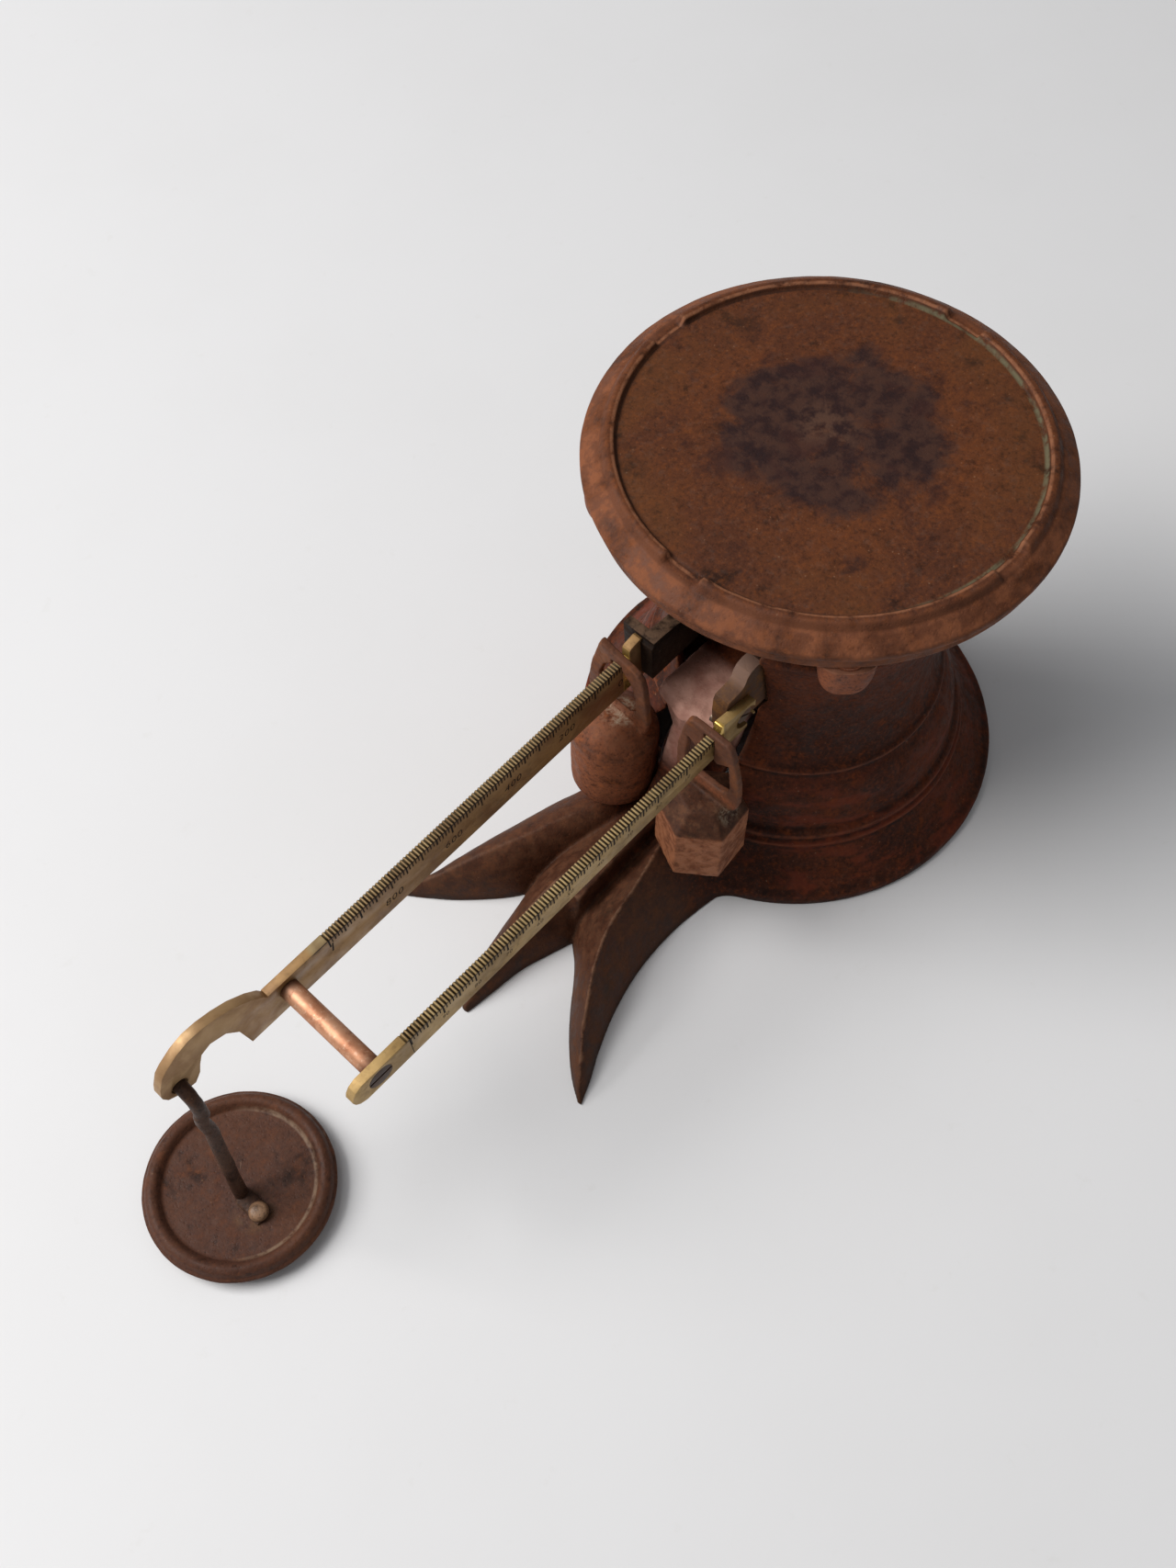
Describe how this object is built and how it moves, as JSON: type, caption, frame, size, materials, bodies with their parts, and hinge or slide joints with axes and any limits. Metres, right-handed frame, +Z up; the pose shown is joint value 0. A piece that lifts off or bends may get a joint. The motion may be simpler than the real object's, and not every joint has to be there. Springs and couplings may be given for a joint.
{
  "type": "counterbalance scale",
  "caption": "Cast-iron counterbalance scale: round platform on a bell pedestal with claw foot, notched brass beams with sliding poises and a hanging counterpoise disc.",
  "frame": {"origin": "pedestal axis at the level of the table", "axes": "+X from the beams' free ends towards the pedestal, +Y towards the left beam, which carries the counterpoise, +Z up"},
  "size_m": [0.6498, 0.2716, 0.279],
  "materials": {
    "iron_rust": "rust-brown cast iron",
    "iron_plate": "mottled rusty cast iron",
    "iron_dark": "dark brown iron",
    "iron_lever": "dark oiled iron",
    "iron_poise": "orange-brown rusty iron",
    "brass": "aged brass, dark in the notches",
    "copper": "copper-coloured, dark at the ends",
    "steel": "hardened steel",
    "screw": "tarnished steel",
    "lead": "dull grey soft metal"
  },
  "bodies": {
    "pedestal_body": {"pedestal": "iron_rust", "claw_foot": "iron_rust", "fulcrum_bearing_left": "steel", "fulcrum_bearing_right": "steel", "stop_bracket": "iron_dark", "stop_screws": "screw", "link_bracket": "iron_dark", "bracket_screws": "screw", "link_anchor_pin": "steel"},
    "lever": {"main_lever": "iron_lever", "fulcrum_knife_left": "steel", "fulcrum_knife_right": "steel", "load_knife_left": "steel", "load_knife_right": "steel", "left_beam": "brass", "right_beam": "brass", "spacer_rod": "copper", "spacer_screws": "brass", "beam_screws": "screw"},
    "platform": {"plate": "iron_plate", "platform_spider": "iron_dark", "platform_stem": "iron_dark", "stem_nut": "screw", "stem_pin": "steel", "load_bearing_left": "steel", "load_bearing_right": "steel"},
    "link": {"check_link": "iron_dark"},
    "left_rider": {"left_poise_knife": "steel"},
    "left_weight": {"left_poise": "iron_poise", "left_poise_plug": "lead"},
    "right_rider": {"right_poise_knife": "steel"},
    "right_weight": {"right_poise": "iron_poise", "right_poise_plug": "lead"},
    "counterpoise": {"hanger_rod": "iron_dark", "counterpoise_disc": "iron_dark", "hanger_screw": "screw"}
  },
  "joints": [
    {"name": "lever_tilt", "type": "hinge", "parent": "pedestal_body", "child": "lever", "pos_m": [-0.01996, 0, 0.1647], "axis": [0, 1, 0], "range_deg": [0, 7.5]},
    {"name": "platform_level", "type": "hinge", "parent": "lever", "child": "platform", "pos_m": [0, 0, 0.16592], "axis": [0, 1, 0], "range_deg": [-7.6, 0.1]},
    {"name": "link_turn", "type": "hinge", "parent": "pedestal_body", "child": "link", "pos_m": [-0.01996, 0, 0.0597], "axis": [0, 1, 0], "range_deg": [-0.1, 7.6]},
    {"name": "left_poise_slide", "type": "slide", "parent": "lever", "child": "left_rider", "axis": [-0.9981, 0, -0.061], "range_m": [0, 0.2265]},
    {"name": "left_poise_swing", "type": "hinge", "parent": "left_rider", "child": "left_weight", "pos_m": [-0.12585, 0.0355, 0.1695], "axis": [0, 1, 0], "range_deg": [-2, 10]},
    {"name": "right_poise_slide", "type": "slide", "parent": "lever", "child": "right_rider", "axis": [-0.9981, 0, -0.061], "range_m": [0, 0.2336]},
    {"name": "right_poise_swing", "type": "hinge", "parent": "right_rider", "child": "right_weight", "pos_m": [-0.12691, -0.0355, 0.16943], "axis": [0, 1, 0], "range_deg": [-1.5, 10]},
    {"name": "counterpoise_swing", "type": "hinge", "parent": "lever", "child": "counterpoise", "pos_m": [-0.45542, 0.0355, 0.14257], "axis": [0, 1, 0], "range_deg": [-8, 6]}
  ],
  "couplings": [
    {"joint": "platform_level", "follows": "lever_tilt", "ratio": -1},
    {"joint": "link_turn", "follows": "lever_tilt", "ratio": 1}
  ]
}
